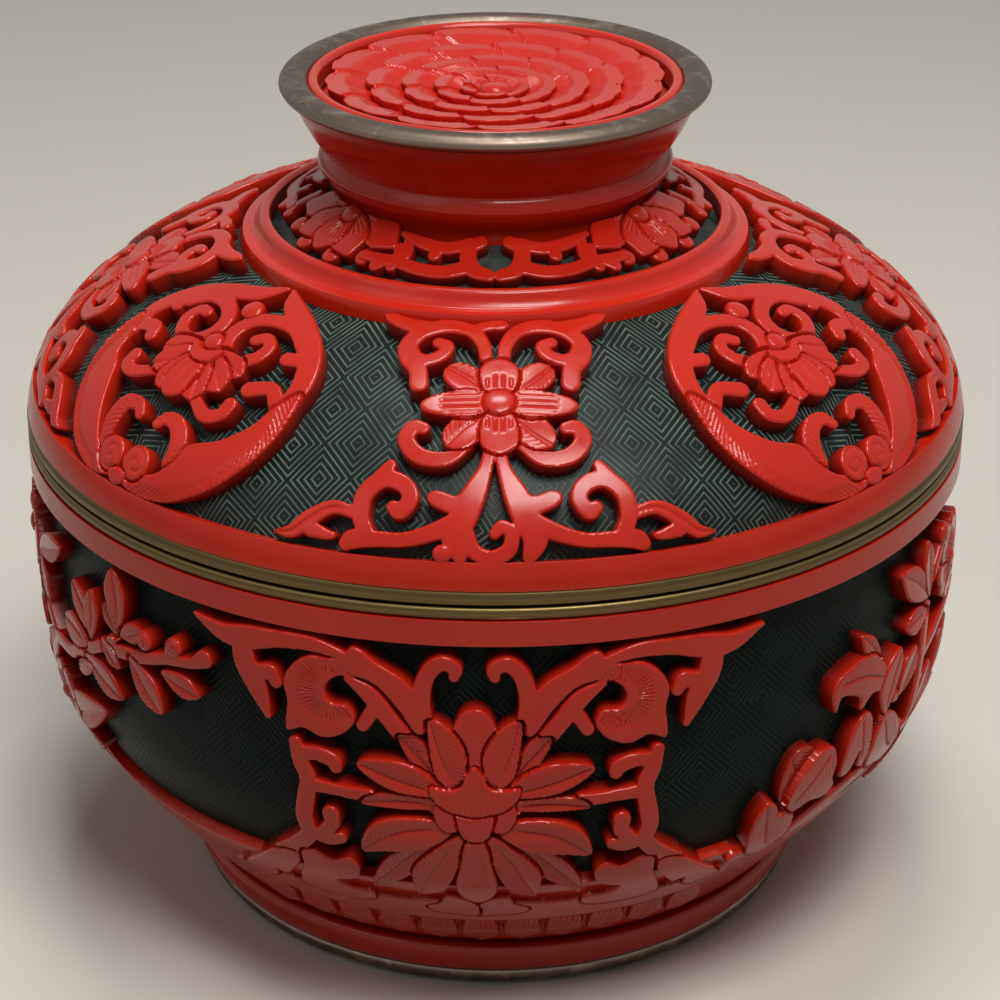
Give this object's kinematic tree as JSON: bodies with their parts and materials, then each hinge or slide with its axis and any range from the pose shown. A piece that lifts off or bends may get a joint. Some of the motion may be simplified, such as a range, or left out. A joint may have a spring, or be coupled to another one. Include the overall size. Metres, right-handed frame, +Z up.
{
  "type": "covered incense box",
  "caption": "Round lidded incense box in carved red lacquer with flower panels, medallions, a lotus panel and a flared knob that holds a flower disc.",
  "frame": {"origin": "on the axis of the box, in the plane that the foot stands on", "axes": "+Z up along the axis; -Y is the front, where the lotus panel of the bowl faces; +X is the right"},
  "size_m": [0.119, 0.119, 0.1079],
  "materials": {
    "bowl_shell": "beaten copper, covered on both sides",
    "bowl_lining": "polished black lacquer",
    "bowl_ground": "dark green lacquer, cut with a fine diaper",
    "bowl_rim_band": "smooth red lacquer",
    "bowl_base_band": "smooth red lacquer",
    "bowl_mouth_rim": "worn gilt brass",
    "bowl_locating_lip": "worn gilt brass",
    "bowl_foot_moulding": "smooth red lacquer",
    "bowl_foot_rim": "dark worn bronze",
    "bowl_underside_lacquer": "polished black lacquer",
    "lid_shell": "beaten copper, covered on both sides",
    "lid_lining": "polished black lacquer",
    "lid_ground": "dark green lacquer, cut with a fine diaper",
    "lid_edge_band": "smooth red lacquer",
    "lid_mouth_rim": "worn gilt brass",
    "lid_collar_ring": "smooth red lacquer",
    "lid_collar_ground": "dark green lacquer",
    "knob_body": "smooth red lacquer",
    "knob_core": "beaten copper, covered all over",
    "knob_rim_bead": "dark worn bronze",
    "knob_disc_rim": "smooth red lacquer",
    "knob_flower_disc": "carved red lacquer",
    "lid_flower_panel_front": "carved red lacquer",
    "lid_flower_panel_right": "carved red lacquer",
    "lid_flower_panel_back": "carved red lacquer",
    "lid_flower_panel_left": "carved red lacquer",
    "lid_medallion_front_right": "carved red lacquer",
    "lid_medallion_back_right": "carved red lacquer",
    "lid_medallion_back_left": "carved red lacquer",
    "lid_medallion_front_left": "carved red lacquer",
    "collar_scrolls_1": "carved red lacquer",
    "collar_scrolls_2": "carved red lacquer",
    "collar_scrolls_3": "carved red lacquer",
    "collar_flower_1": "carved red lacquer",
    "collar_flower_2": "carved red lacquer",
    "collar_flower_3": "carved red lacquer",
    "bowl_lotus_panel_front": "carved red lacquer",
    "bowl_lotus_panel_back": "carved red lacquer",
    "bowl_spray_right": "carved red lacquer",
    "bowl_spray_left": "carved red lacquer"
  },
  "bodies": {
    "bowl": {"bowl_shell": "bowl_shell", "bowl_lining": "bowl_lining", "bowl_ground": "bowl_ground", "bowl_rim_band": "bowl_rim_band", "bowl_base_band": "bowl_base_band", "bowl_mouth_rim": "bowl_mouth_rim", "bowl_locating_lip": "bowl_locating_lip", "bowl_foot_moulding": "bowl_foot_moulding", "bowl_foot_rim": "bowl_foot_rim", "bowl_underside_lacquer": "bowl_underside_lacquer", "bowl_lotus_panel_front": "bowl_lotus_panel_front", "bowl_lotus_panel_back": "bowl_lotus_panel_back", "bowl_spray_right": "bowl_spray_right", "bowl_spray_left": "bowl_spray_left"},
    "lid": {"lid_shell": "lid_shell", "lid_lining": "lid_lining", "lid_ground": "lid_ground", "lid_edge_band": "lid_edge_band", "lid_mouth_rim": "lid_mouth_rim", "lid_collar_ring": "lid_collar_ring", "lid_collar_ground": "lid_collar_ground", "knob_body": "knob_body", "knob_core": "knob_core", "knob_rim_bead": "knob_rim_bead", "knob_disc_rim": "knob_disc_rim", "knob_flower_disc": "knob_flower_disc", "lid_flower_panel_front": "lid_flower_panel_front", "lid_flower_panel_right": "lid_flower_panel_right", "lid_flower_panel_back": "lid_flower_panel_back", "lid_flower_panel_left": "lid_flower_panel_left", "lid_medallion_front_right": "lid_medallion_front_right", "lid_medallion_back_right": "lid_medallion_back_right", "lid_medallion_back_left": "lid_medallion_back_left", "lid_medallion_front_left": "lid_medallion_front_left", "collar_scrolls_1": "collar_scrolls_1", "collar_scrolls_2": "collar_scrolls_2", "collar_scrolls_3": "collar_scrolls_3", "collar_flower_1": "collar_flower_1", "collar_flower_2": "collar_flower_2", "collar_flower_3": "collar_flower_3"}
  },
  "joints": [
    {"name": "lid_lift", "type": "slide", "parent": "bowl", "child": "lid", "axis": [0, 0, 1], "range_m": [0, 0.06]}
  ]
}
